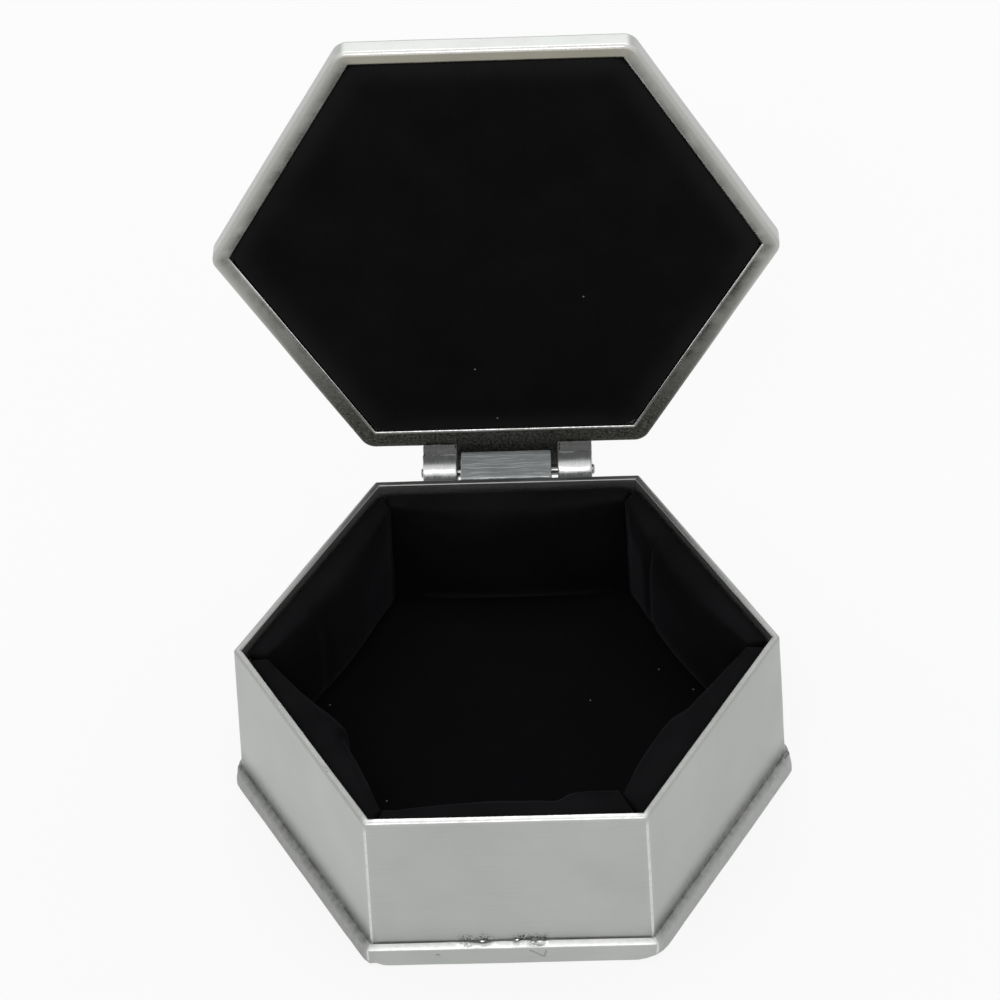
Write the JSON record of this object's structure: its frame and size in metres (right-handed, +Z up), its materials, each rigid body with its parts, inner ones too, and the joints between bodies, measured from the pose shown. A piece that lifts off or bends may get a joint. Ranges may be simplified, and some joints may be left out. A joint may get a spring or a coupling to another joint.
{
  "type": "trinket box",
  "caption": "Six-sided pewter-finish trinket box with a padded black velvet lining and a flat lid on a pinned hinge, shown open.",
  "frame": {"origin": "centre of the base plate's underside", "axes": "+Z up, -Y towards the front wall, +Y towards the hinge, +X to the right seen from the front"},
  "size_m": [0.08, 0.0835, 0.0966],
  "materials": {
    "pewter": "brushed satin pewter with a light patina in the creases",
    "hinge_pewter": "filed and soldered pewter, darker than the body",
    "pin_steel": "bright drawn wire",
    "velvet": "black short-pile velvet",
    "card": "plain grey-brown board",
    "wadding": "white polyester wadding"
  },
  "bodies": {
    "box": {"base_plate": "pewter", "body_wall": "pewter", "hinge_block": "hinge_pewter", "hinge_pin": "pin_steel", "floor_velvet": "velvet", "wall_velvet_front": "velvet", "wall_velvet_front_right": "velvet", "wall_velvet_back_right": "velvet", "wall_velvet_back": "velvet", "wall_velvet_back_left": "velvet", "wall_velvet_front_left": "velvet", "floor_card": "card", "wall_card_front": "card", "wall_card_front_right": "card", "wall_card_back_right": "card", "wall_card_back": "card", "wall_card_back_left": "card", "wall_card_front_left": "card", "floor_wadding": "wadding", "wall_wadding_front": "wadding", "wall_wadding_front_right": "wadding", "wall_wadding_back_right": "wadding", "wall_wadding_back": "wadding", "wall_wadding_back_left": "wadding", "wall_wadding_front_left": "wadding"},
    "lid": {"lid_shell": "pewter", "hinge_ear_left": "hinge_pewter", "hinge_ear_right": "hinge_pewter", "lid_card": "card", "lid_wadding": "wadding", "lid_velvet": "velvet"}
  },
  "joints": [
    {"name": "lid_hinge", "type": "hinge", "parent": "box", "child": "lid", "pos_m": [0, 0.03726, 0.02485], "axis": [1, 0, 0], "range_deg": [0, 94]}
  ]
}
